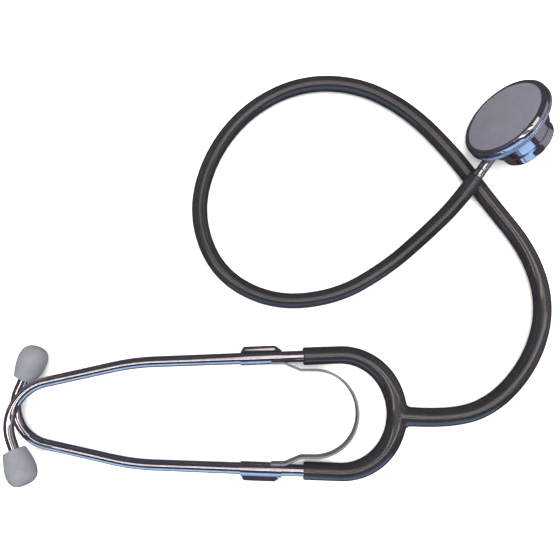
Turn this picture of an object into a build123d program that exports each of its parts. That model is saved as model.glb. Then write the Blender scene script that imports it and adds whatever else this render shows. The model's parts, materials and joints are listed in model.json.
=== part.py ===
from build123d import *
import os
from math import atan, cos, degrees, radians, sin, tan

# Dual-head stethoscope lying on a table, millimetres, +Z up, table at Z = 0.
# The ear tips point to -X, the chestpiece lies at +X +Y.

# ---- binaural (headset) ----
AXIS_Y = -64.2            # centre line between the two ear tubes
EAR_TUBE_OD = 5.4
EAR_TUBE_WALL = 0.5
SPRING_T = 0.8            # leaf spring strip
SPRING_W = 8.0
COLLAR_T = 0.6            # strip wrapped round the ear tube
COLLAR_X = (-19.5, 0.0)
FIN_PROUD = 1.6           # pinched lips above the wrap
FIN_T = 1.3
LEG_HALF = 20.4           # half spacing of the spring's straight legs, and its arc's radius
LEG_X = (9.2, 15.9)       # start and end of a leg
LEAF_BEND = 3.0
LEAF_APEX_Z = 5.9
APEX_GAP = 0.3            # half the gap where the two modelled halves meet
TIP_LENGTH = 16.5
TIP_BASE_R = 5.2
TIP_MAX_R = 6.8
TIP_WIDEST = 9.6          # height of the widest place
TIP_EDGE = 0.6
TIP_GRIP = 9.5            # how far the ear tube reaches into the tip
TIP_PORT_R = 1.5

# ---- flexible tubing ----
ARM_OD = 8.6              # the two arms of the Y
STUB_OD = 9.2
TUBE_OD = 8.2             # main tube
TUBE_ID = 5.0
ARM_LUMEN = 4.6
YOKE_R = 28.2             # radius of the Y's arc
YOKE_X = 27.15            # centre of that arc
YOKE_Z = 4.6
PIVOT_ANGLE = 25.0        # where each arm flexes, up the arc from the stub
ARM_BEND = 26.4           # bend radius of an arm, less if its runs are too short
ARM_BEND_FILL = 0.99      # of an arm's shorter run that its bend may take up
ARM_STRAIGHT = 18.0       # from an arm's corner to the end of the ear tube in its sleeve
SLEEVE_LENGTH = 16.5      # straight end of an arm that grips the ear tube
STUB_ANGLE = -3.0
STUB_LENGTH = 9.0
FLEX_GAP = 0.3

# ---- chestpiece ----
HEAD_TILT = 58.7          # diaphragm normal from the vertical
HEAD_AZIMUTH = 150.5
STEM_AZIMUTH = 54.2
STEM_REACH = 29.5         # tube end to the middle of the head
STEM_OD = 5.4
STEM_COLLAR = 4.0
STEM_GAP = 0.3            # groove between the fixed collar and the turning neck
NECK_OD = 5.2
BARB_LENGTH = 8.0
SPINDLE_R = 1.9
SPINDLE_END = 6.5         # past the middle of the head
RUNNING = 0.05            # radial running clearance
BORE_R = 1.1              # sound channel
DRUM_R = 15.3
DRUM_Z = (-7.5, 2.6)
PLATE_R = 20.6            # threaded plate that carries the diaphragm
PLATE_Z = (3.6, 7.3)
CHAMBER_R = 17.4
CHAMBER_DEPTH = 1.1
BELL_RIM_R = 13.6
BELL_RIM_Z = -13.0
BELL_LIP = 1.0
BELL_SPIGOT_R = 11.0
BELL_SPIGOT_L = 2.2
RING_R = 22.0
RING_TOP_R = 21.0
RING_Z = (3.5, 8.5)
KNURL_TOP = 5.5
LIP_T = 0.7
LIP_R = 19.25
GASKET_T = 0.3
GASKET_W = 2.6
FILM_T = 0.3              # edge of the diaphragm
SEAT_GAP = 0.05           # under the ring's lip when the ring is home
FACE_R = 19.1             # its raised face
DETENT_X = -4.6
BALL_R = 1.0
CLIP_T = 0.6
CLIP_R = 3.0
SEAL_R = 0.35

# Main tube: the run along the table, from the first bend to the rise at the crossing.
ROUTE = [
    (105.0, -58.5, 4.6), (122.5, -37.5, 4.6), (129.5, -12.0, 4.6), (122.5, 14.5, 4.6),
    (103.0, 40.0, 4.6), (86.5, 64.0, 4.6), (65.0, 87.0, 4.4), (39.0, 101.0, 4.3),
    (9.0, 101.5, 4.2), (-18.0, 87.0, 4.2), (-36.5, 62.0, 4.2), (-43.0, 32.0, 4.2),
    (-31.5, 3.0, 4.2), (-4.5, -11.5, 4.2), (27.0, -8.5, 4.2), (52.0, 6.0, 4.4),
    (70.0, 21.5, 6.0),
]
FIRST_RUN = 19.7
LAST_RUN = 15.5
TUBE_END = Vector(94.9, 49.3, 13.16)
BEND_SHARE = 0.45         # of the shorter run, taken up by each bend


# Each ear tube: distance in X, half spacing from the axis, height. The left one lies on top.
EAR_PATHS = {
    "left": [(-69.8, 24.1, 11.6), (-132.8, 10.1, 15.5), (-118.0, -24.0, 18.5)],
    "right": [(-70.75, 24.0, 4.3), (-135.15, 9.7, 4.7), (-119.9, -24.9, 6.8)],
}
EAR_BENDS = (110.0, 19.0)
SIDES = {"left": 1, "right": -1}


def placed(side, x, half, z):
    """A point of one side of the binaural, mirrored about its centre line."""
    return Vector(x, AXIS_Y + SIDES[side] * half, z)


def on_yoke(angle, radius=YOKE_R):
    """A point on the arc of the Y, by its angle from +X."""
    return Vector(YOKE_X + radius * cos(radians(angle)), AXIS_Y + radius * sin(radians(angle)), YOKE_Z)


def swept(path, radius):
    """A round bar along a path."""
    return sweep(Plane(path @ 0, z_dir=path % 0) * Circle(radius), path=path)


def hose(path, outer_r, inner_r):
    """A round pipe along a path."""
    return swept(path, outer_r) - swept(path, inner_r)


def between(a, b):
    return Plane(a, z_dir=b - a)


def bar(a, b, radius):
    """A round bar from point a to point b."""
    return between(a, b) * Cylinder(radius, (b - a).length, align=(Align.CENTER, Align.CENTER, Align.MIN))


def arm_corner(side):
    """Where the tangent at the pivot meets the line of the ear tube."""
    return placed(side, YOKE_X + YOKE_R * tan(radians(90 - PIVOT_ANGLE) / 2), YOKE_R, YOKE_Z)


def ear_route(side):
    """Corner points of an ear tube, from its end in the sleeve to its end in the tip."""
    points = [placed(side, *p) for p in EAR_PATHS[side]]
    corner = arm_corner(side)
    along = (points[0] - corner).normalized()
    return [corner + along * ARM_STRAIGHT] + points


def ear_tube(side):
    path = FilletPolyline(*ear_route(side), radius=list(EAR_BENDS))
    return hose(path, EAR_TUBE_OD / 2, EAR_TUBE_OD / 2 - EAR_TUBE_WALL)


def tip_plane(side):
    """Base of the ear tip, z axis along the last straight of the ear tube."""
    corner, end = ear_route(side)[-2:]
    along = (end - corner).normalized()
    return Plane(end - along * TIP_GRIP, z_dir=along)


def ear_tip(side):
    bore = EAR_TUBE_OD / 2 + RUNNING
    grip = TIP_GRIP + RUNNING
    with BuildSketch(Plane.XZ) as half:
        with BuildLine():
            Polyline((bore, 0), (TIP_BASE_R - TIP_EDGE, 0), (TIP_BASE_R, TIP_EDGE))
            Spline((TIP_BASE_R, TIP_EDGE), (TIP_MAX_R, TIP_WIDEST), tangents=[(0.25, 1), (0, 1)])
            Spline((TIP_MAX_R, TIP_WIDEST), (TIP_PORT_R + TIP_EDGE, TIP_LENGTH), tangents=[(0, 1), (-1, 0.1)])
            Polyline((TIP_PORT_R + TIP_EDGE, TIP_LENGTH), (TIP_PORT_R, TIP_LENGTH - TIP_EDGE), (TIP_PORT_R, grip),
                     (bore, grip), (bore, 0))
        make_face()
    return tip_plane(side) * revolve(half.sketch, axis=Axis.Z)


def pivot(side):
    return on_yoke(SIDES[side] * PIVOT_ANGLE)


def arm_bend(flex, corner, knee):
    """Bend radius that fits between an arm's two straight runs."""
    turn = radians((corner - flex).get_angle(knee - corner))
    shorter = min((corner - flex).length, (knee - corner).length)
    return min(ARM_BEND, ARM_BEND_FILL * shorter / tan(turn / 2))


def y_arm(side):
    """One arm of the Y: a domed end at the pivot, a bend, and the sleeve for the ear tube."""
    corner, flex = arm_corner(side), pivot(side)
    knee, first = ear_route(side)[:2]
    back = (flex - corner).normalized()
    mouth = knee + (first - knee).normalized() * SLEEVE_LENGTH
    bend = arm_bend(flex, corner, knee)
    body = swept(FilletPolyline(flex, corner, mouth, radius=bend), ARM_OD / 2)
    dome = Sphere(ARM_OD / 2, arc_size1=0, align=(Align.CENTER, Align.CENTER, Align.MIN))
    body += Plane(flex, z_dir=back) * dome
    body -= swept(FilletPolyline(flex + back * ARM_OD, corner, knee, radius=bend), ARM_LUMEN / 2)
    return body - bar(knee, mouth + (mouth - knee), EAR_TUBE_OD / 2)


def stub_end():
    return on_yoke(STUB_ANGLE, YOKE_R + STUB_LENGTH)


def y_junction():
    """Middle of the Y with sockets for both arms and the stub for the main tube."""
    arc = ThreePointArc(on_yoke(-PIVOT_ANGLE), on_yoke(0), on_yoke(PIVOT_ANGLE))
    start = on_yoke(STUB_ANGLE)
    body = swept(arc, ARM_OD / 2) + bar(start, stub_end(), STUB_OD / 2)
    body += Location(start) * Sphere(STUB_OD / 2)
    for side in SIDES:
        body -= Location(pivot(side)) * Sphere(ARM_OD / 2 + FLEX_GAP)
    body -= swept(arc, ARM_LUMEN / 2)
    return body - bar(start, stub_end(), ARM_LUMEN / 2)


def leaf_spring(side):
    """Half of the leaf spring with the collar that wraps the ear tube."""
    sign = SIDES[side]
    knee, first = ear_route(side)[:2]
    along = (first - knee).normalized()
    back, front = [knee + along * ((x - YOKE_X) / along.X) for x in COLLAR_X]
    wrap_r = EAR_TUBE_OD / 2 + COLLAR_T
    collar = bar(back, front, wrap_r)
    fin_h = wrap_r + FIN_PROUD
    length = (front - back).length
    fin_plane = Plane(back, x_dir=front - back, z_dir=(0, 0, 1))
    outline = [(0.0, 0.0), (0.0, fin_h - 0.8), (0.8, fin_h), (length - 3.4, fin_h), (length, wrap_r), (length, 0)]
    fin = extrude(fin_plane * make_face(Polyline(*[(x, sign * y) for x, y in outline], close=True)),
                  amount=FIN_T / 2, both=True)
    strip = leaf_strip(side, front, wrap_r)
    return collar + fin + strip - bar(back - (front - back), front + (front - back), EAR_TUBE_OD / 2)


def leaf_strip(side, front, wrap_r):
    """The strip from the collar, in by a step, along a leg and round to the middle, in a tilted plane."""
    sign = SIDES[side]
    run = LEG_X[1] + LEG_HALF - front.X
    slope = Vector(run, 0, LEAF_APEX_Z - front.Z).normalized()
    flat = Plane(Vector(front.X, AXIS_Y, front.Z), x_dir=slope, z_dir=slope.cross(Vector(0, -1, 0)) * -1)
    inner = abs(front.Y - AXIS_Y) - (wrap_r - SPRING_T / 2)
    bends = [(-5.0, inner), (1.0, inner), (LEG_X[0] - front.X, LEG_HALF), (LEG_X[1] - front.X, LEG_HALF)]
    middle = LEG_X[1] - front.X
    away = degrees(atan(APEX_GAP / LEG_HALF))
    arc = [(middle + LEG_HALF * cos(radians(a)), LEG_HALF * sin(radians(a))) for a in (90, 45, away)]
    line = FilletPolyline(*[(x, sign * y) for x, y in bends], radius=LEAF_BEND)
    line += ThreePointArc(*[(x, sign * y) for x, y in arc])
    path = flat * Wire(line.edges())
    start = Plane(path @ 0, x_dir=(0, 1, 0), z_dir=path % 0)
    return sweep(start * Rectangle(SPRING_T, SPRING_W), path=path)


# ---- chestpiece ----
def head_axes():
    """Unit vectors: the diaphragm's outward normal, and the stem towards the head."""
    t, a, b = radians(HEAD_TILT), radians(HEAD_AZIMUTH), radians(STEM_AZIMUTH)
    normal = Vector(sin(t) * cos(a), sin(t) * sin(a), cos(t))
    rise = atan(-(normal.X * cos(b) + normal.Y * sin(b)) / normal.Z)
    return normal, Vector(cos(rise) * cos(b), cos(rise) * sin(b), sin(rise))


NORMAL, STEM_DIR = head_axes()
HEAD_CENTRE = TUBE_END + STEM_DIR * STEM_REACH
HEAD = Plane(HEAD_CENTRE, x_dir=STEM_DIR, z_dir=NORMAL)   # x from the tube to the head


def turned(points):
    """A solid of revolution about the head's axis, from (radius, height) points."""
    face = Plane.XZ * make_face(Polyline(*points, close=True))
    return revolve(face, axis=Axis.Z)


def x_bar(x0, x1, radius):
    """A round bar along the stem axis."""
    return bar(Vector(x0, 0, 0), Vector(x1, 0, 0), radius)


def z_bar(z0, z1, radius, x=0.0):
    return bar(Vector(x, 0, z0), Vector(x, 0, z1), radius)


NECK_START = -STEM_REACH + STEM_COLLAR + STEM_GAP
NECK_SEAT = -DRUM_R + 5.0
CLIP_POCKET = DRUM_R + 1.0


def head_body():
    """Drum and plate of the head, drilled for the spindle, neck, detent and sound channel."""
    z0, z1 = DRUM_Z
    p0, p1 = PLATE_Z
    body = turned([(0, z0), (DRUM_R - 1.2, z0), (DRUM_R, z0 + 1.2), (DRUM_R, z1), (PLATE_R - 2.2, p0 + 0.6),
                   (PLATE_R, p0 + 1.2), (PLATE_R, p1), (CHAMBER_R, p1), (2.5, p1 - CHAMBER_DEPTH), (0, p1 - CHAMBER_DEPTH)])
    body -= x_bar(-DRUM_R - 1, CLIP_POCKET, SPINDLE_R + RUNNING)
    body -= x_bar(-DRUM_R - 1, NECK_SEAT, NECK_OD / 2)
    body -= x_bar(SPINDLE_END - CLIP_T * 3, CLIP_POCKET, CLIP_R + 0.4)
    body -= z_bar(z0 - 1, p1, BORE_R)
    body -= z_bar(z0 - 1, z0 + BELL_SPIGOT_L, BELL_SPIGOT_R)
    return body - z_bar(z0, 0, BALL_R + RUNNING, DETENT_X)


def neck():
    """Turning neck: a chrome sleeve pressed into the drum."""
    return x_bar(NECK_START, NECK_SEAT, NECK_OD / 2) - x_bar(NECK_START - 1, NECK_SEAT + 1, SPINDLE_R + RUNNING)


def side_plug():
    """Chrome plug that closes the pocket behind the retaining clip."""
    plug = x_bar(SPINDLE_END + 1.0, DRUM_R - 0.4, CLIP_R + 0.4)
    return plug - x_bar(DRUM_R - 1.0, DRUM_R, 0.9)


def stem():
    """Fixed stem: barbed spigot in the tube, collar, and the hollow spindle."""
    start = -STEM_REACH
    body = x_bar(start - BARB_LENGTH, start, TUBE_ID / 2 - 0.3) + x_bar(start, start + STEM_COLLAR, STEM_OD / 2)
    for k in range(3):
        x = start - BARB_LENGTH + 0.4 + 2.4 * k
        cone = Cone(TUBE_ID / 2 - 0.3, TUBE_ID / 2, 1.6, align=(Align.CENTER, Align.CENTER, Align.MIN))
        body += Plane((x, 0, 0), z_dir=(1, 0, 0)) * cone
    body += x_bar(start + STEM_COLLAR, SPINDLE_END, SPINDLE_R)
    body -= x_bar(start - BARB_LENGTH, 1.0, BORE_R)
    body -= z_bar(0, SPINDLE_R + 1, BORE_R)
    body -= clip_cut()
    body -= Location((SEAL_X, 0, 0), (0, 90, 0)) * Torus(SPINDLE_R, SEAL_R)
    for sign in (-1, 1):
        body -= Location((DETENT_X, 0, sign * (SPINDLE_R + BALL_R - 0.35))) * Sphere(BALL_R)
    return body


SEAL_X = -12.0
CLIP_X = SPINDLE_END - 1.2


def clip_cut():
    """Groove near the end of the spindle."""
    return x_bar(CLIP_X, CLIP_X + CLIP_T, SPINDLE_R + 1) - x_bar(CLIP_X - 1, CLIP_X + 2, SPINDLE_R - 0.4)


def retaining_clip():
    """Open ring in the spindle's groove."""
    ring = x_bar(CLIP_X, CLIP_X + CLIP_T, CLIP_R) - x_bar(CLIP_X - 1, CLIP_X + 2, SPINDLE_R - 0.4)
    return ring - Location((CLIP_X, 0, -CLIP_R)) * Box(4, 2.4, 2 * CLIP_R)


def stem_seal():
    """Rubber ring in the spindle's groove."""
    ring = Location((SEAL_X, 0, 0), (0, 90, 0)) * Torus(SPINDLE_R, SEAL_R)
    return ring & (x_bar(SEAL_X - 2, SEAL_X + 2, SPINDLE_R + RUNNING / 2))


def detent_ball():
    return Location((DETENT_X, 0, -(SPINDLE_R + BALL_R + RUNNING / 2))) * Sphere(BALL_R)


def detent_spring():
    """Coil spring that presses the ball, seated on the bell's spigot."""
    wire, coil_r, top = 0.15, 0.75, -(SPINDLE_R + 2 * BALL_R + 0.25)
    bottom = DRUM_Z[0] + BELL_SPIGOT_L + 0.25
    height = top - bottom
    helix = Helix(pitch=height / 4, height=height, radius=coil_r, center=(DETENT_X, 0, bottom))
    return sweep(Plane(helix @ 0, z_dir=helix % 0) * Circle(wire), path=helix)


def bell():
    """Bell: conical cup with a narrow flat rim, screwed into the drum."""
    z0 = DRUM_Z[0]
    top = z0 + BELL_SPIGOT_L
    cup = BELL_RIM_R - BELL_LIP
    body = turned([(BORE_R, top), (BELL_SPIGOT_R - RUNNING, top), (BELL_SPIGOT_R - RUNNING, z0),
                   (BELL_RIM_R - 0.6, z0 - 0.05), (BELL_RIM_R - 0.9, z0 - 1.2), (BELL_RIM_R, BELL_RIM_Z + 0.8),
                   (BELL_RIM_R, BELL_RIM_Z), (cup, BELL_RIM_Z), (cup - 1.2, BELL_RIM_Z + 2.2), (BORE_R, z0 + 0.6)])
    return body


def gasket():
    z = PLATE_Z[1]
    return z_bar(z, z + GASKET_T, PLATE_R - 0.1) - z_bar(z - 1, z + 1, PLATE_R - GASKET_W)


def diaphragm():
    """Stiff disc with a thin edge under the ring's lip and a face level with it."""
    z = PLATE_Z[1] + GASKET_T
    return z_bar(z, z + FILM_T, PLATE_R - 0.1) + z_bar(z, RING_Z[1], FACE_R)


def retaining_ring():
    """Threaded ring that clamps the diaphragm; its lip covers the edge."""
    low, high = RING_Z
    seat = PLATE_Z[1] + GASKET_T + FILM_T + SEAT_GAP
    bore = PLATE_R + RUNNING
    return turned([(bore, low), (RING_R - 0.4, low), (RING_R, low + 0.4), (RING_R, KNURL_TOP), (RING_R - 0.15, KNURL_TOP + 0.3),
                   (RING_TOP_R, high - 0.4), (RING_TOP_R - 0.5, high), (LIP_R, high), (LIP_R, seat + 0.1), (LIP_R + 0.2, seat),
                   (bore, seat)])


def tube_route():
    """All points of the main tube: out of the stub, along the table, and onto the stem."""
    out = stub_end()
    away = (out - on_yoke(STUB_ANGLE)).normalized()
    points = [out, out + away * FIRST_RUN] + [Vector(*p) for p in ROUTE]
    return points + [TUBE_END - STEM_DIR * LAST_RUN, TUBE_END]


def bend_radii(points):
    """Radius of each bend: a share of its shorter run over the tangent of half the turn."""
    radii = []
    for a, b, c in zip(points, points[1:], points[2:]):
        turn = (b - a).get_angle(c - b)
        radii.append(BEND_SHARE * min((b - a).length, (c - b).length) / tan(radians(turn) / 2))
    return radii


def main_tube():
    points = tube_route()
    radii = bend_radii(points)
    path = FilletPolyline(*points, radius=radii)
    pipe = hose(path, TUBE_OD / 2, TUBE_ID / 2)
    print("bend radii", [round(r, 1) for r in radii])
    section = 3.14159265 * ((TUBE_OD / 2) ** 2 - (TUBE_ID / 2) ** 2)
    print("tube length", round(path.length, 1), "volume", round(pipe.volume, 1), "expected", round(section * path.length, 1))
    for p in points:
        print("route", round(p.X, 2), round(p.Y, 2), round(p.Z, 2))
    return pipe


os.makedirs("parts", exist_ok=True)
nodes = {"y_junction": y_junction(), "main_tube": main_tube()}
for side in SIDES:
    nodes["y_arm_" + side] = y_arm(side)
    nodes["ear_tube_" + side] = ear_tube(side)
    nodes["ear_tip_" + side] = ear_tip(side)
    nodes["leaf_spring_" + side] = leaf_spring(side)
HEAD_PARTS = [stem, stem_seal, retaining_clip, neck, head_body, side_plug, detent_ball, detent_spring, bell,
              gasket, diaphragm, retaining_ring]
for make in HEAD_PARTS:
    nodes[make.__name__] = HEAD.location * make()
for name, solid in nodes.items():
    export_step(solid, "parts/" + name + ".step")
print("centre", HEAD_CENTRE, "normal", NORMAL, "stem", STEM_DIR)
for side in SIDES:
    print(side, "pivot", pivot(side), "tip plane", tip_plane(side).origin, tip_plane(side).z_dir)
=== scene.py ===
# %% [markdown]
# # A dual-head stethoscope
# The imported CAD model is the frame: it says where each body is and how it moves. This script adds the
# surfaces that the eye sees, as numpy grids in the same frame, and gives every piece a procedural finish.

# %% Load the frame
import json
from math import cos, degrees, pi, radians, sin, tan

import bpy
import numpy as np
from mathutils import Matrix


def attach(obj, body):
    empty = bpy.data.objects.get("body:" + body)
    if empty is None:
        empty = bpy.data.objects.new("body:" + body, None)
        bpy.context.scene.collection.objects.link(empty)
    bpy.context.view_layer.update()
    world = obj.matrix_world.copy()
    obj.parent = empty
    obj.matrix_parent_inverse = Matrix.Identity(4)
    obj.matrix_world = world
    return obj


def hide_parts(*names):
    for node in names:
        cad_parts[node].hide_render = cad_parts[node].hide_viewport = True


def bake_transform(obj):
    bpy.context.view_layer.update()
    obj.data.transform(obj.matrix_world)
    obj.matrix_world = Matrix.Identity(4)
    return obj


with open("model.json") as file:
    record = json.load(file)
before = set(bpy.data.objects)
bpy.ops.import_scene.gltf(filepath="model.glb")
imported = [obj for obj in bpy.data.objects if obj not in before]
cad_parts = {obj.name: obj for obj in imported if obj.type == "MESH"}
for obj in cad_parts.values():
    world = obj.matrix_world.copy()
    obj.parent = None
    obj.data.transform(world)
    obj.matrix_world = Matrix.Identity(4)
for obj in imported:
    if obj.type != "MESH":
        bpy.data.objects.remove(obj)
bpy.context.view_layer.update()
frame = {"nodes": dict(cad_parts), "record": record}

MM = 0.001
record = frame["record"]
joints = {j["name"]: j for j in record["behaviour"]["joints"]}

# %% [markdown]
# ## Camera
# The stethoscope lies on a table and is looked at from almost straight above, a little from the front.
# The camera is placed by its height and lens, and aimed at the middle of the table.

# %% Camera
CAMERA_AT = np.array([-0.75, -33.98, 298.0])
CAMERA_AIM = np.array([-0.75, 0.5, 0.0])
LENS_MM = 38.57
SENSOR_MM = 36.0
NEAREST_SEEN = 0.01   # metres


def camera_matrix(place, aim):
    """Columns right, up and back: back points from the aim to the place, right is level."""
    from mathutils import Matrix
    back = (place - aim) / np.linalg.norm(place - aim)
    right = np.cross([0.0, 1.0, 0.0], back)
    right /= np.linalg.norm(right)
    up = np.cross(back, right)
    rows = np.column_stack([right, up, back, place * MM])
    return Matrix([*rows.tolist(), [0, 0, 0, 1]])


camera = bpy.data.objects.new("camera", bpy.data.cameras.new("camera"))
bpy.context.collection.objects.link(camera)
camera.data.lens = LENS_MM
camera.data.sensor_width = SENSOR_MM
camera.data.clip_start = NEAREST_SEEN
camera.matrix_world = camera_matrix(CAMERA_AT, CAMERA_AIM)
bpy.context.scene.camera = camera
bpy.context.scene.view_settings.view_transform = "Standard"
print("camera at", tuple(CAMERA_AT), "mm")

# %% [markdown]
# ## Colours and nodes
# Colours are written as the screen shows them, in hex, and one function turns them to the linear numbers
# that a shader works in. One small function adds a node with its settings and its links, so that a finish
# reads as a list.


# %% Colour and node helpers
def linear(code):
    """Linear RGBA of an sRGB hex code: c / 12.92 up to 0.04045, above it ((c + 0.055) / 1.055) to the 2.4."""
    c = np.array([int(code[i:i + 2], 16) for i in (1, 3, 5)]) / 255.0
    rgb = np.where(c <= 0.04045, c / 12.92, ((c + 0.055) / 1.055) ** 2.4)
    return (*rgb.tolist(), 1.0)


def node(tree, kind, settings=None, inputs=None, links=None):
    """Adds a node: settings are its own values, inputs its sockets' values, links {socket: (node, output)}."""
    made = tree.nodes.new(kind)
    for key, value in (settings or {}).items():
        setattr(made, key, value)
    for key, value in (inputs or {}).items():
        made.inputs[key].default_value = value
    for key, (source, output) in (links or {}).items():
        tree.links.new(source.outputs[output], made.inputs[key])
    return made


def ramp(tree, source, output, stops):
    """A colour ramp through (place, hex) stops."""
    made = node(tree, "ShaderNodeValToRGB", links={"Fac": (source, output)})
    for k, (place, code) in enumerate(stops):
        element = made.color_ramp.elements[k] if k < 2 else made.color_ramp.elements.new(place)
        element.position, element.color = place, linear(code)
    return made


def per_m(mm):
    """Scale of a noise whose grain is about this many millimetres."""
    return 1000.0 / mm


def blank(name):
    """A new material with a Principled shader, its tree and the object's own coordinates in metres."""
    material = bpy.data.materials.new(name)
    material.use_nodes = True
    tree = material.node_tree
    shader = tree.nodes["Principled BSDF"]
    place = node(tree, "ShaderNodeTexCoord")
    return material, tree, shader, place


def bumped(tree, shader, source, output, height_mm, strength=1.0):
    """Bump of a height in millimetres, straight into the shader's normal."""
    bump = node(tree, "ShaderNodeBump", inputs={"Strength": strength, "Distance": height_mm * MM},
                links={"Height": (source, output)})
    tree.links.new(bump.outputs["Normal"], shader.inputs["Normal"])
    return bump


print("charcoal in linear light:", [round(v, 4) for v in linear("#26262a")])

# %% [markdown]
# ## Tubing: extruded, plasticised PVC
# The tube and the Y are soft PVC filled with carbon black. Extruding leaves the skin glossy with a very fine
# orange peel, and handling leaves it a little duller in places. IOR is about 1.53.


# %% PVC finish
def pvc_tubing():
    material, tree, shader, place = blank("plasticised_pvc_charcoal")
    tone = node(tree, "ShaderNodeTexNoise", inputs={"Scale": per_m(14), "Detail": 3.0},
                links={"Vector": (place, "Object")})
    colour = ramp(tree, tone, "Fac", [(0.3, "#1a1a1c"), (0.7, "#222124")])
    tree.links.new(colour.outputs["Color"], shader.inputs["Base Color"])
    handled = node(tree, "ShaderNodeTexNoise", inputs={"Scale": per_m(6), "Detail": 4.0},
                   links={"Vector": (place, "Object")})
    rough = node(tree, "ShaderNodeMapRange", links={"Value": (handled, "Fac")},
                 inputs={"From Min": 0.3, "From Max": 0.7, "To Min": 0.2, "To Max": 0.27})
    tree.links.new(rough.outputs["Result"], shader.inputs["Roughness"])
    peel = node(tree, "ShaderNodeTexNoise", inputs={"Scale": per_m(0.7), "Detail": 2.0},
                links={"Vector": (place, "Object")})
    bumped(tree, shader, peel, "Fac", 0.0012)
    shader.inputs["IOR"].default_value = 1.53
    shader.inputs["Coat Weight"].default_value = 0.7
    shader.inputs["Coat Roughness"].default_value = 0.04
    return material


# %% [markdown]
# ## Chrome: bright electroplate over polished brass
# Ear tubes, stem and chestpiece are polished and plated. Almost all that is seen is what they reflect, so the
# finish is a nearly clean mirror with a faint bloom and very fine wiping marks.


# %% Chrome finish
def chrome_plate():
    material, tree, shader, place = blank("bright_chrome_plate")
    bloom = node(tree, "ShaderNodeTexNoise", inputs={"Scale": per_m(5), "Detail": 5.0},
                 links={"Vector": (place, "Object")})
    colour = ramp(tree, bloom, "Fac", [(0.3, "#c4c2c6"), (0.7, "#d4d3d8")])
    tree.links.new(colour.outputs["Color"], shader.inputs["Base Color"])
    rough = node(tree, "ShaderNodeMapRange", links={"Value": (bloom, "Fac")},
                 inputs={"From Min": 0.35, "From Max": 0.75, "To Min": 0.05, "To Max": 0.09})
    tree.links.new(rough.outputs["Result"], shader.inputs["Roughness"])
    wiping = node(tree, "ShaderNodeTexNoise", inputs={"Scale": per_m(0.5), "Detail": 3.0},
                  links={"Vector": (place, "Object")})
    bumped(tree, shader, wiping, "Fac", 0.0002)
    shader.inputs["Metallic"].default_value = 1.0
    return material


# %% [markdown]
# ## Spring strip: rolled, tumbled carbon steel
# The leaf spring is cut from rolled strip and tumbled, which leaves it satin with faint rolling lines along it.


# %% Spring steel finish
def satin_spring_steel():
    material, tree, shader, place = blank("satin_spring_steel")
    stretched = node(tree, "ShaderNodeMapping", inputs={"Scale": (0.08, 0.08, 1.0)},
                     links={"Vector": (place, "Object")})
    lines = node(tree, "ShaderNodeTexNoise", inputs={"Scale": per_m(0.25), "Detail": 3.0},
                 links={"Vector": (stretched, "Vector")})
    colour = ramp(tree, lines, "Fac", [(0.3, "#605e66"), (0.7, "#737179")])
    tree.links.new(colour.outputs["Color"], shader.inputs["Base Color"])
    rough = node(tree, "ShaderNodeMapRange", inputs={"To Min": 0.34, "To Max": 0.5},
                 links={"Value": (lines, "Fac")})
    tree.links.new(rough.outputs["Result"], shader.inputs["Roughness"])
    bumped(tree, shader, lines, "Fac", 0.006)
    shader.inputs["Metallic"].default_value = 0.45
    return material


# %% [markdown]
# ## Ear tips: moulded satin plastic
# The tips are a grey moulded plastic, matt enough to glow softly, with a faint spark texture from the mould.


# %% Ear tip finish
def moulded_grey():
    material, tree, shader, place = blank("moulded_grey_plastic")
    cloud = node(tree, "ShaderNodeTexNoise", inputs={"Scale": per_m(4), "Detail": 4.0},
                 links={"Vector": (place, "Object")})
    colour = ramp(tree, cloud, "Fac", [(0.3, "#63666c"), (0.7, "#6d7076")])
    tree.links.new(colour.outputs["Color"], shader.inputs["Base Color"])
    spark = node(tree, "ShaderNodeTexNoise", inputs={"Scale": per_m(0.45), "Detail": 2.0},
                 links={"Vector": (place, "Object")})
    bumped(tree, shader, spark, "Fac", 0.02)
    shader.inputs["Roughness"].default_value = 0.55
    shader.inputs["IOR"].default_value = 1.49
    return material


# %% [markdown]
# ## Diaphragm: epoxy-glass film
# The diaphragm is a stiff thin disc with a matt, finely mottled face. The mottle is about half a millimetre.


# %% Diaphragm finish
def mottled_film():
    material, tree, shader, place = blank("mottled_grey_film")
    fine = node(tree, "ShaderNodeTexNoise", inputs={"Scale": per_m(0.55), "Detail": 2.0},
                links={"Vector": (place, "Object")})
    wide = node(tree, "ShaderNodeTexNoise", inputs={"Scale": per_m(9), "Detail": 3.0},
                links={"Vector": (place, "Object")})
    both = node(tree, "ShaderNodeMix", {"data_type": "FLOAT"}, {"Factor": 0.35},
                {"A": (fine, "Fac"), "B": (wide, "Fac")})
    colour = ramp(tree, both, "Result", [(0.35, "#5a5963"), (0.65, "#696872")])
    tree.links.new(colour.outputs["Color"], shader.inputs["Base Color"])
    bumped(tree, shader, fine, "Fac", 0.015)
    shader.inputs["Roughness"].default_value = 0.5
    shader.inputs["IOR"].default_value = 1.5
    return material


# %% Seals and small steel parts
def black_nitrile():
    material, tree, shader, place = blank("moulded_black_nitrile")
    skin_noise = node(tree, "ShaderNodeTexNoise", inputs={"Scale": per_m(0.4), "Detail": 2.0},
                      links={"Vector": (place, "Object")})
    colour = ramp(tree, skin_noise, "Fac", [(0.3, "#161617"), (0.7, "#202022")])
    tree.links.new(colour.outputs["Color"], shader.inputs["Base Color"])
    bumped(tree, shader, skin_noise, "Fac", 0.01)
    shader.inputs["Roughness"].default_value = 0.65
    return material


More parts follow.
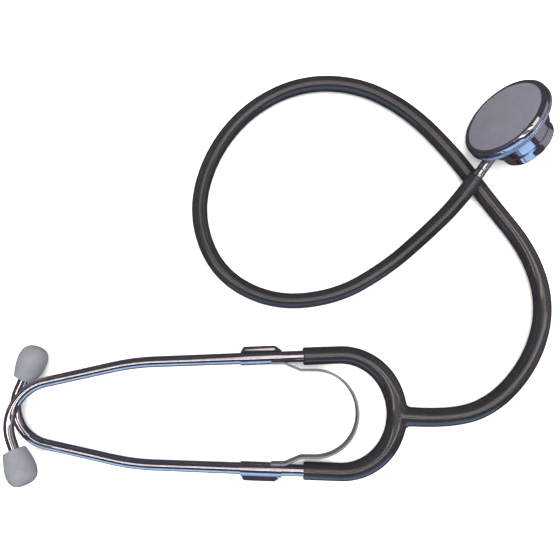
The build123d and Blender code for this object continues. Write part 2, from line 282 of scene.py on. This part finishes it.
def ground_steel():
    material, tree, shader, place = blank("ground_hard_steel")
    lines = node(tree, "ShaderNodeTexNoise", inputs={"Scale": per_m(0.2), "Detail": 3.0},
                 links={"Vector": (place, "Object")})
    rough = node(tree, "ShaderNodeMapRange", inputs={"To Min": 0.18, "To Max": 0.32},
                 links={"Value": (lines, "Fac")})
    tree.links.new(rough.outputs["Result"], shader.inputs["Roughness"])
    shader.inputs["Base Color"].default_value = linear("#b9b8ba")
    shader.inputs["Metallic"].default_value = 1.0
    return material


FINISH = {"tubing": pvc_tubing(), "ear_tube": chrome_plate(), "spring_steel": satin_spring_steel(),
          "ear_tip": moulded_grey(), "diaphragm": mottled_film(), "seal": black_nitrile(),
          "steel": ground_steel()}
FINISH["chrome"] = FINISH["ear_tube"]
for part in record["subparts"]:
    shown = frame["nodes"][part["node"]]
    shown.data.materials.clear()
    shown.data.materials.append(FINISH[part["material_slot"]])
print("finishes:", sorted(m.name for m in set(FINISH.values())))

# %% [markdown]
# ## Meshes from grids
# A piece here is a stack of closed rings: ring i is one cross-section, and faces join each ring to the next.
# Its two ends are closed with a fan of triangles, or joined to each other where the section is a loop. Two
# makers give the rings: one carries a section along a path, the other turns a profile about an axis.


# %% Grid helpers
RING_STEPS = 48


def skin(name, rings, slot, body=None, sharp=40.0, loop=False):
    """Mesh through rings[i, j]: quads join ring i to i + 1 and wrap in j. A loop joins the last ring to the
    first. Otherwise each end fans to its ring's mean point. If the signed volume, a sum of a . (b x c) / 6
    over triangles, is negative, every face is turned round."""
    n, m = rings.shape[:2]
    ends = np.empty((0, 3)) if loop else np.stack([rings[0].mean(axis=0), rings[-1].mean(axis=0)])
    points = np.vstack([rings.reshape(-1, 3), ends])
    i, j = np.meshgrid(np.arange(n if loop else n - 1), np.arange(m), indexing="ij")
    here, across = i * m + j, i * m + (j + 1) % m
    after = (i + 1) % n * m
    quads = np.stack([here, across, after + (j + 1) % m, after + j], axis=-1).reshape(-1, 4)
    round_ = np.arange(0 if loop else m)
    first = np.stack([(round_ + 1) % m, round_, np.full_like(round_, n * m)], axis=-1)
    end = (n - 1) * m
    last = np.stack([end + round_, end + (round_ + 1) % m, np.full_like(round_, n * m + 1)], axis=-1)
    a, b, c, d = (points[quads[:, k]] for k in range(4))
    volume = (np.cross(b, c) * a).sum() + (np.cross(c, d) * a).sum()
    volume += sum((np.cross(points[t[:, 1]], points[t[:, 2]]) * points[t[:, 0]]).sum() for t in (first, last))
    if volume < 0:
        quads, first, last = quads[:, ::-1], first[:, ::-1], last[:, ::-1]
    mesh = bpy.data.meshes.new(name)
    mesh.from_pydata(points.tolist(), [], quads.tolist() + first.tolist() + last.tolist())
    mesh.shade_smooth()
    mesh.set_sharp_from_angle(angle=radians(sharp))
    mesh.materials.append(FINISH[slot])
    piece = bpy.data.objects.new(name, mesh)
    bpy.context.collection.objects.link(piece)
    if body:
        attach(piece, body)
    print(name, "rings", n, "x", m)
    return piece


def unit(v):
    return np.asarray(v, float) / np.linalg.norm(v)


def carried(path, half_width, half_height=None, up=(0.0, 0.0, 1.0), steps=RING_STEPS, power=2.0):
    """Rings of a superellipse carried along a path, in metres. side = tangent x up, top = side x tangent, and
    point = path + side w |cos t|^(2/power) sign(cos t) + top h |sin t|^(2/power) sign(sin t)."""
    half_height = half_width if half_height is None else half_height
    tangent = np.gradient(path, axis=0)
    tangent /= np.linalg.norm(tangent, axis=1, keepdims=True)
    side = np.cross(tangent, np.asarray(up, float))
    side /= np.linalg.norm(side, axis=1, keepdims=True)
    top = np.cross(side, tangent)
    t = np.linspace(0, 2 * pi, steps, endpoint=False)
    x = np.sign(np.cos(t)) * np.abs(np.cos(t)) ** (2 / power)
    y = np.sign(np.sin(t)) * np.abs(np.sin(t)) ** (2 / power)
    w = np.broadcast_to(half_width, len(path))[:, None, None]
    h = np.broadcast_to(half_height, len(path))[:, None, None]
    across, upward = side[:, None, :] * w * x[None, :, None], top[:, None, :] * h * y[None, :, None]
    return path[:, None, :] + across + upward


def bent_line(corners, radii, step=1.2 * MM):
    """Points along straight runs joined by arcs. An arc of radius r that turns by a starts r tan(a/2) before its
    corner; its points are centre + r (cos t . out + sin t . along) as t goes from 0 to a."""
    corners = [np.asarray(c, float) for c in corners]
    parts, here = [], corners[0]
    for corner, following, radius in zip(corners[1:], corners[2:], radii):
        into, away = unit(corner - here), unit(following - corner)
        turn = np.arccos(np.clip(into @ away, -1, 1))
        begin = corner - into * radius * tan(turn / 2)
        inward = unit(away - into * (into @ away))
        centre = begin + inward * radius
        count = max(2, int(np.linalg.norm(begin - here) / step))
        parts.append(here + np.linspace(0, 1, count, endpoint=False)[:, None] * (begin - here))
        t = np.linspace(0, turn, max(6, int(radius * turn / step)), endpoint=False)[:, None]
        parts.append(centre - inward * radius * np.cos(t) + into * radius * np.sin(t))
        here = centre - inward * radius * cos(turn) + into * radius * sin(turn)
    count = max(2, int(np.linalg.norm(corners[-1] - here) / step))
    parts.append(here + np.linspace(0, 1, count)[:, None] * (corners[-1] - here))
    return np.vstack(parts)


def turned(profile, origin, axis, steps=96):
    """Rings of a profile of (radius, height) pairs in mm about an axis: origin + height . axis
    + radius . (cos t . e1 + sin t . e2), with e1 and e2 square to the axis."""
    axis = unit(axis)
    e1 = unit(np.cross(axis, [0.0, 0.0, 1.0]))
    e2 = np.cross(axis, e1)
    t = np.linspace(0, 2 * pi, steps, endpoint=False)
    around = np.cos(t)[:, None] * e1 + np.sin(t)[:, None] * e2
    profile = np.asarray(profile, float) * MM
    radius = profile[:, 0][:, None, None]
    return np.asarray(origin) + profile[:, 1][:, None, None] * axis + radius * around[None]


def rounded(corners, radius, steps=5):
    """A profile with its inner corners rounded: each corner becomes a quadratic curve between the points that lie
    one radius before and after it."""
    corners = np.asarray(corners, float)
    out = [corners[:1]]
    t = np.linspace(0, 1, steps)[:, None]
    for before, corner, after in zip(corners, corners[1:], corners[2:]):
        lead = min(radius, 0.45 * np.linalg.norm(corner - before))
        trail = min(radius, 0.45 * np.linalg.norm(after - corner))
        a, b = corner - unit(corner - before) * lead, corner + unit(after - corner) * trail
        out.append((1 - t) ** 2 * a + 2 * t * (1 - t) * corner + t ** 2 * b)
    out.append(corners[-1:])
    return np.vstack(out)


# %% [markdown]
# ## The main tube
# The tube leaves the Y's stub, runs round one loose loop and crosses over itself just before the chestpiece.
# A NURBS curve with the route's points as its control points gives the smooth lie of a soft tube.

# %% Main tube
AXIS_Y = -64.2
YOKE_X, YOKE_Y, YOKE_Z, YOKE_R = 27.15, AXIS_Y, 4.6, 28.2
TUBE_D = 8.2 * MM
ROUTE = [
    (64.30, -66.15, 4.6), (83.97, -67.18, 4.6), (105.0, -58.5, 4.6), (122.5, -37.5, 4.6), (129.5, -12.0, 4.6),
    (122.5, 14.5, 4.6), (103.0, 40.0, 4.6), (86.5, 64.0, 4.6), (65.0, 87.0, 4.4), (39.0, 101.0, 4.3),
    (9.0, 101.5, 4.2), (-18.0, 87.0, 4.2), (-36.5, 62.0, 4.2), (-43.0, 32.0, 4.2), (-31.5, 3.0, 4.2),
    (-4.5, -11.5, 4.2), (27.0, -8.5, 4.2), (52.0, 6.0, 4.4), (70.0, 21.5, 6.0), (85.98, 36.93, 10.41),
    (94.90, 49.30, 13.16),
]
# The extruded tube is thickest where the Y is moulded on, thins along its length, and swells over the barb.
SWELL = np.interp(np.arange(len(ROUTE)), [0, 2, 8, 17, 19, 20], [1.12, 1.07, 0.98, 0.90, 0.93, 0.97])


def nurbs_tube(name, points, diameter, swell):
    """A round tube on one NURBS spline of order 3 that reaches its end points."""
    curve = bpy.data.curves.new(name, "CURVE")
    curve.dimensions = "3D"
    spline = curve.splines.new("NURBS")
    spline.points.add(len(points) - 1)
    flat = np.column_stack([np.asarray(points) * MM, np.ones(len(points))])
    spline.points.foreach_set("co", flat.ravel())
    spline.points.foreach_set("radius", swell)
    spline.order_u = 3
    spline.use_endpoint_u = True
    spline.resolution_u = 16
    curve.bevel_depth = diameter / 2
    curve.bevel_resolution = 10
    curve.use_fill_caps = True
    curve.materials.append(FINISH["tubing"])
    tube = bpy.data.objects.new(name, curve)
    bpy.context.collection.objects.link(tube)
    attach(tube, "root")
    return tube


main_tube = nurbs_tube("main_tube_skin", ROUTE, TUBE_D, SWELL)
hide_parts("main_tube")
print("route points:", len(ROUTE))

# %% [markdown]
# ## The moulded Y
# Two arms curve round to the stub, a little thicker in the middle than at the sleeves. Each arm is a section
# carried along its own bend. The middle and the stub belong to the root body; the arms are baked in place and
# belong to no body.

# %% Y arms and hub
HUB_ANGLE = 12.0
SIDES = {"left": 1, "right": -1}
ARM_BEND = 26.4
PIVOT_ANGLE = 25.0
EAR_PATHS = {
    "left": [(-69.8, 24.1, 11.6), (-132.8, 10.1, 15.5), (-118.0, -24.0, 18.5)],
    "right": [(-70.75, 24.0, 4.3), (-135.15, 9.7, 4.7), (-119.9, -24.9, 6.8)],
}
EAR_BENDS = (110.0, 19.0)
ARM_STRAIGHT, SLEEVE_LENGTH = 18.0, 16.5
SLEEVE_R, MOUTH_R, MOUTH_LENGTH = 4.25, 3.9, 0.25


def on_yoke(angle):
    """Points of the Y's arc, in mm, by angle from +X in degrees."""
    a = np.radians(np.asarray(angle, float))
    x, y = YOKE_X + YOKE_R * np.cos(a), YOKE_Y + YOKE_R * np.sin(a)
    return np.stack([x, y, np.full_like(a, YOKE_Z)], axis=-1)


def placed(side, x, half, z):
    return np.array([x, AXIS_Y + SIDES[side] * half, z])


def arm_corner(side):
    return placed(side, YOKE_X + YOKE_R * tan(radians(90 - PIVOT_ANGLE) / 2), YOKE_R, YOKE_Z)


def ear_corners(side):
    """Corner points of an ear tube, in mm, from its end in the sleeve to its end in the tip."""
    points = [placed(side, *p) for p in EAR_PATHS[side]]
    corner = arm_corner(side)
    return [corner + unit(points[0] - corner) * ARM_STRAIGHT] + points


def arm_section(path_mm):
    """Half width and half height of the moulding: 4.25 mm at the sleeve, up to 4.95 by 4.6 mm at the hub."""
    near = np.clip((path_mm[:, 0] - YOKE_X) / YOKE_R, 0, 1) ** 1.5
    return (SLEEVE_R + 0.7 * near) * MM, (SLEEVE_R + 0.35 * near) * MM


def arm_piece(side):
    sign = SIDES[side]
    knee, first = ear_corners(side)[:2]
    mouth = knee + unit(first - knee) * SLEEVE_LENGTH
    arc = on_yoke(sign * np.linspace(HUB_ANGLE, PIVOT_ANGLE, 8, endpoint=False))
    rest = bent_line([on_yoke(sign * PIVOT_ANGLE), arm_corner(side), mouth], [ARM_BEND], 0.8)
    path = np.vstack([arc, rest])
    w, h = arm_section(path)
    rings = carried(path * MM, w, h)
    lip = path[-1] + unit(path[-1] - path[-2]) * MOUTH_LENGTH
    lip_radii = np.array([SLEEVE_R, SLEEVE_R, MOUTH_R]) * MM
    mouth_rings = carried(np.vstack([path[-2:], lip[None]]) * MM, lip_radii)[-1:]
    piece = skin("y_arm_skin_" + side, np.vstack([rings, mouth_rings]), "tubing")
    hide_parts("y_arm_" + side)
    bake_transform(piece)
    return piece


def hub_piece():
    """The middle of the Y's arc."""
    angles = np.concatenate([[-HUB_ANGLE - 2], np.linspace(-HUB_ANGLE, HUB_ANGLE, 21), [HUB_ANGLE + 2]])
    path = on_yoke(angles)
    w, h = arm_section(path)
    tuck = np.where(np.abs(angles) > HUB_ANGLE, 0.06 * MM, 0.0)
    piece = skin("y_hub_skin", carried(path * MM, w - tuck, h - tuck), "tubing", "root")
    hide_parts("y_junction")
    return piece


def stub_piece():
    """The stub with a fillet where it meets the arc. Round the stub by t, each line runs from the stub's end to
    its foot and out over the arc's skin as a quadratic curve. Its middle point is where the skins would meet."""
    origin = on_yoke(-3.0)
    away = unit([cos(radians(-3)), sin(radians(-3)), 0.0])
    along = np.array([-away[1], away[0], 0.0])
    up = np.array([0.0, 0.0, 1.0])
    t = np.linspace(0, 2 * pi, 64, endpoint=False)
    half_w, half_h, reach, flare = 4.9, 4.59, 9.0, 2.6
    y, z = 4.6 * np.cos(t), 4.55 * np.sin(t)

    def skin_x(y, z):
        """Distance out of the arc's skin at a height, with the arc falling back by y^2 / 2R."""
        return half_w * np.sqrt(np.clip(1 - (z / half_h) ** 2, 0, 1)) - y ** 2 / (2 * YOKE_R)

    out_y, out_z = y * (1 + flare / 4.6), z
    foot = np.stack([skin_x(y, z), y, z], axis=-1)
    spread = np.stack([skin_x(out_y, out_z) - 0.05, out_y, out_z], axis=-1)
    start = foot + np.array([flare, 0, 0])
    end = np.stack([np.full_like(y, reach), 4.6 * np.cos(t), 4.6 * np.sin(t)], axis=-1)
    u = np.linspace(0, 1, 10)[:, None, None]
    fillet = (1 - u) ** 2 * spread + 2 * u * (1 - u) * foot + u ** 2 * start
    straight = start + np.linspace(0, 1, 8)[1:, None, None] * (end - start)
    local = np.vstack([fillet, straight])
    rings = origin + local[..., :1] * away + local[..., 1:2] * along + local[..., 2:] * up
    return skin("y_stub_skin", rings * MM, "tubing", "root")


for side in SIDES:
    arm_piece(side)
hub_piece()
stub_piece()

# %% [markdown]
# ## Ear tubes
# Each tube is chromed brass, drawn a little thinner towards the ear tip. The left one lies on top of the right.

# %% Ear tubes
BORE_SHARE, BORE_DEPTH = 0.79, 6.0   # of the tube's radius, and mm deep, at the end that the tip hides


def ear_tube_piece(side):
    path = bent_line(np.array(ear_corners(side)), EAR_BENDS, 1.0)
    share = np.linspace(0, 1, len(path))
    radius = np.interp(share, [0, 0.25, 0.7, 1], [2.7, 2.7, 2.45, 2.35]) * MM
    rings = carried(path * MM, radius, steps=40)
    mouth = path[-1] * MM + (rings[-1] - path[-1] * MM) * BORE_SHARE
    inside = mouth - unit(path[-1] - path[-2]) * BORE_DEPTH * MM
    rings = np.concatenate([rings, [mouth, inside]])
    piece = skin("ear_tube_skin_" + side, rings, "ear_tube", "side_" + side)
    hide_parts("ear_tube_" + side)
    return piece


for side in SIDES:
    ear_tube_piece(side)

# %% [markdown]
# ## Ear tips
# A tip is a turned shape: a flat base, a barrel that widens, and a full dome with a small sound port.

# %% Ear tips
TIP_GRIP = 9.5


def tip_profile():
    """Radius by height: the bore for the tube, a quarter sine from 5.2 to 6.8 mm, a superellipse dome, the port."""
    low = np.linspace(0, 1, 12)
    barrel = np.stack([5.2 + 1.6 * np.sin(low * pi / 2) ** 1.1, 0.7 + low * 8.9], axis=-1)
    a = np.linspace(0, 1, 22)[1:] * 1.36
    dome = np.stack([6.8 * np.cos(a) ** 0.74, 9.6 + 6.9 * (np.sin(a) / sin(1.36)) ** 0.82], axis=-1)
    base = np.array([[2.4, 9.6], [2.4, 0.05], [2.7, 0.0], [4.6, 0.0], [4.95, 0.12], [5.12, 0.4]])
    port = np.array([[1.75, 16.55], [1.5, 16.4], [1.45, 16.0], [1.4, 12.0]])
    return np.vstack([base, barrel, dome[:-1], port])


def ear_tip_piece(side):
    corners = ear_corners(side)
    along = unit(corners[-1] - corners[-2])
    origin = (corners[-1] - along * TIP_GRIP) * MM
    rings = turned(tip_profile(), origin, along, steps=72)
    piece = skin("ear_tip_skin_" + side, rings, "ear_tip", "tip_" + side)
    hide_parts("ear_tip_" + side)
    return piece


for side in SIDES:
    ear_tip_piece(side)

# %% [markdown]
# ## Leaf spring and collars
# One strip of spring steel is wrapped round both ear tubes: each collar is pinched on its outer side into a short
# double lip, and the strip runs from its inner side, steps in, and bows round between the arms.

# %% Leaf spring
LEG_HALF, LEG_X, APEX_Z = 20.4, (9.2, 15.9), 5.9
COLLAR_X = (-19.5, 0.0)
WRAP_R = 3.3
STRIP_HALF = (0.6, 4.0)   # half thickness and half width


def on_ear_line(side, x):
    """The point of an ear tube's first straight at this x, in mm."""
    knee, first = ear_corners(side)[:2]
    along = unit(first - knee)
    return knee + along * (x - knee[0]) / along[0]


def leaf_piece(side):
    """The strip's half: a rounded rectangle carried from the collar to the middle of the bow."""
    sign = SIDES[side]
    front = on_ear_line(side, COLLAR_X[1])
    inner = abs(front[1] - AXIS_Y) - (WRAP_R - 0.4)
    outline = np.array([(-5.0, inner), (1.5, inner), (LEG_X[0], LEG_HALF), (LEG_X[1], LEG_HALF)])
    leg = bent_line(np.column_stack([outline, np.zeros(4)]), [3.0, 3.0], 0.6)[:-1]
    a = np.radians(np.linspace(90, 0, 48))
    bow = np.stack([LEG_X[1] + LEG_HALF * np.cos(a), LEG_HALF * np.sin(a), 0 * a], axis=-1)
    path = np.vstack([leg, bow])
    drop = (APEX_Z - front[2]) / (LEG_X[1] + LEG_HALF)
    path[:, 2] = front[2] + drop * path[:, 0]
    path[:, 1] = AXIS_Y + sign * path[:, 1]
    rings = carried(path * MM, STRIP_HALF[0] * MM, STRIP_HALF[1] * MM, steps=32, power=8.0)
    piece = skin("leaf_skin_" + side, rings, "spring_steel", sharp=60)
    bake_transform(piece)
    return piece


def collar_piece(side):
    """The wrap and its pinched lip. Round the tube by t the radius is WRAP_R. Within the lip's half thickness of
    the outward side it follows the lip instead, whose height grows from each end of the collar."""
    sign = SIDES[side]
    x = np.concatenate([[COLLAR_X[0] + 0.02], np.linspace(*COLLAR_X, 40), [COLLAR_X[1] - 0.02]])
    proud = 2.3 * np.clip(np.minimum((x - COLLAR_X[0]) / 1.2, (COLLAR_X[1] - x) / 3.2), 0, 1)
    thin = np.ones_like(x)
    thin[[0, -1]] = 0.9
    centre = np.array([on_ear_line(side, v) for v in x])
    t = np.linspace(-pi, pi, 96, endpoint=False)
    half = 0.75
    y = WRAP_R * np.cos(t)[None] * thin[:, None]
    z = WRAP_R * np.sin(t)[None] * thin[:, None]
    tip = np.exp(-(t / 0.26) ** 6)[None]
    y = y + tip * proud[:, None]
    z = np.where(proud[:, None] > 0, z * (1 - tip) + np.clip(z, -half, half) * tip, z)
    along = np.broadcast_to(centre[:, :1], y.shape)
    rings = np.stack([along, centre[:, 1:2] + sign * y, centre[:, 2:] + z], axis=-1)
    piece = skin("collar_skin_" + side, rings * MM, "chrome", "side_" + side)
    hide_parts("leaf_spring_" + side)
    return piece


for side in SIDES:
    collar_piece(side)
    leaf_piece(side)

# %% [markdown]
# ## Chestpiece
# All of it is turned work about one axis: drum and plate, bell, knurled ring and diaphragm. The stem and its
# neck are turned about the other axis, square to the first. Both axes come from the joints in the record.

# %% Chestpiece axes
HEAD_AT = np.array(joints["head_swivel"]["pos_m"])
STEM_AXIS = unit(joints["head_swivel"]["axis"])
FACE_AXIS = unit(joints["ring_turn"]["axis"])
print("head centre", HEAD_AT, "tilt of the face", round(degrees(np.arccos(FACE_AXIS[2])), 1))


# %% Drum, plate and bell
def head_piece():
    profile = rounded([(17.4, 7.25), (20.5, 7.3), (20.5, 4.8), (18.4, 4.2), (15.3, 2.6), (15.3, -6.2),
                       (14.2, -7.5), (1.1, -7.5), (1.1, -3.0)], 0.35)
    piece = skin("drum_skin", turned(profile, HEAD_AT, FACE_AXIS, steps=128), "chrome", "head")
    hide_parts("head_body")
    return piece


def bell_piece():
    profile = rounded([(1.1, -7.6), (13.2, -7.6), (13.0, -8.6), (12.9, -9.2), (13.55, -12.2), (13.6, -12.9),
                       (12.9, -13.0), (12.5, -12.8), (11.4, -10.8), (3.0, -7.9), (1.1, -7.9)], 0.4)
    piece = skin("bell_skin", turned(profile, HEAD_AT, FACE_AXIS, steps=128), "chrome", "head", loop=True)
    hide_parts("bell")
    return piece


# %% Knurled ring and diaphragm
KNURLS = 128
KNURL_DEPTH = 0.3   # mm


def ring_piece():
    """The ring's section, closed on itself, with the knurl on its lower band: the radius drops by KNURL_DEPTH
    between ridges, as 1 - |sin (angle x ridges / 2)| to the 0.8."""
    profile = rounded([(20.7, 3.5), (21.6, 3.5), (22.0, 3.75), (22.0, 5.35), (21.75, 5.6), (21.85, 5.9),
                       (21.75, 7.3), (21.0, 8.35), (20.4, 8.55), (19.6, 8.5), (19.25, 8.3), (19.25, 7.95),
                       (20.7, 7.9)], 0.22)
    steps = KNURLS * 6
    rings = turned(profile, HEAD_AT, FACE_AXIS, steps=steps)
    height, outer = profile[:, 1], profile[:, 0] > 21.3
    band = np.clip(np.minimum((height - 3.6) / 0.25, (5.45 - height) / 0.2), 0, 1) * outer
    wave = 1 - np.abs(np.sin(np.linspace(0, 2 * pi, steps, endpoint=False) * KNURLS / 2)) ** 0.8
    centre = HEAD_AT + height[:, None, None] * MM * FACE_AXIS
    outward = (rings - centre) / np.linalg.norm(rings - centre, axis=-1, keepdims=True)
    rings = rings - outward * (band[:, None] * wave[None])[..., None] * KNURL_DEPTH * MM
    piece = skin("ring_skin", rings, "chrome", "ring", sharp=50, loop=True)
    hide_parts("retaining_ring")
    return piece


def diaphragm_piece():
    profile = rounded([(17.5, 7.7), (20.4, 7.7), (20.4, 7.85), (19.05, 7.9), (19.05, 8.45),
                       (18.5, 8.5)], 0.12)
    rings = turned(profile, HEAD_AT, FACE_AXIS, steps=128)
    piece = skin("diaphragm_skin", rings, "diaphragm", "diaphragm_unit")
    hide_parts("diaphragm")
    return piece


# %% Stem and neck
def neck_piece():
    profile = rounded([(2.0, -25.2), (2.45, -25.2), (2.6, -25.0), (2.55, -20.0), (2.6, -12.0),
                       (2.0, -12.0)], 0.15)
    rings = turned(profile, HEAD_AT, STEM_AXIS, steps=64)
    piece = skin("neck_skin", rings, "chrome", "head", loop=True)
    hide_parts("neck")
    return piece


def stem_piece():
    profile = rounded([(2.2, -31.5), (2.45, -29.3), (2.7, -29.1), (2.7, -25.7), (2.5, -25.5), (1.9, -25.5),
                       (1.9, -25.0), (1.9, 6.4)], 0.12)
    piece = skin("stem_skin", turned(profile, HEAD_AT, STEM_AXIS, steps=64), "chrome", "root")
    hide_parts("stem")
    return piece


for make in (head_piece, bell_piece, ring_piece, diaphragm_piece, neck_piece, stem_piece):
    make()

# %% [markdown]
# ## Floor and light
# A pale floor, two narrow lamps and a lit patch of ceiling above it, a cool window at the front, and two pale
# walls. A large soft panel lights the floor evenly. It is left out of reflections, so that the chrome keeps its
# dark bands.


# %% Floor and lights
def area_light(name, place, aim, size, watts, colour, glossy=True):
    """A rectangular light, in metres, facing its aim."""
    from mathutils import Vector
    data = bpy.data.lights.new(name, "AREA")
    data.shape, data.size, data.size_y = "RECTANGLE", size[0], size[1]
    data.energy, data.color = watts, linear(colour)[:3]
    light = bpy.data.objects.new(name, data)
    light.location = place
    light.rotation_euler = (Vector(aim) - Vector(place)).to_track_quat("-Z", "Y").to_euler()
    light.visible_glossy = glossy
    bpy.context.collection.objects.link(light)
    return light


area_light("soft_panel", (0.0, 0.1, 1.3), (0, 0, 0), (1.8, 1.8), 62.0, "#fffdfa", glossy=False)
area_light("long_lamp", (-0.1, -0.26, 0.9), (-0.1, 0, 0), (1.5, 0.07), 1.7, "#fff1e4")
area_light("cross_lamp", (0.1, 0.0, 0.95), (0, 0, 0), (0.07, 1.4), 1.3, "#fff1e4")
area_light("window", (0.0, -0.9, 0.08), (0, 0, 0.0), (2.0, 0.75), 7.0, "#9cc0ee")
area_light("ceiling_patch", (0.2, 0.2, 0.9), (0.11, 0.07, 0), (0.5, 0.3), 0.6, "#fff0ea")
area_light("pale_wall", (0.95, 0.1, 0.4), (0.1, 0.05, 0), (1.2, 0.8), 1.1, "#e4e0e6")
area_light("wall", (-0.9, 0.55, 0.35), (0, 0, 0.0), (0.9, 0.6), 0.35, "#dcd8e0")

world = bpy.data.worlds.new("room")
world.use_nodes = True
world.node_tree.nodes["Background"].inputs["Color"].default_value = linear("#504d58")
world.node_tree.nodes["Background"].inputs["Strength"].default_value = 1.0
bpy.context.scene.world = world

floor_mesh = bpy.data.meshes.new("floor")
floor_mesh.from_pydata([(-3, -3, 0), (3, -3, 0), (3, 3, 0), (-3, 3, 0)], [], [(0, 1, 2, 3)])
floor = bpy.data.objects.new("floor", floor_mesh)
bpy.context.collection.objects.link(floor)
paper, tree, shader, place = blank("pale_paper")
shader.inputs["Base Color"].default_value = linear("#f4f4f4")
shader.inputs["Roughness"].default_value = 0.9
floor_mesh.materials.append(paper)
floor.visible_glossy = False
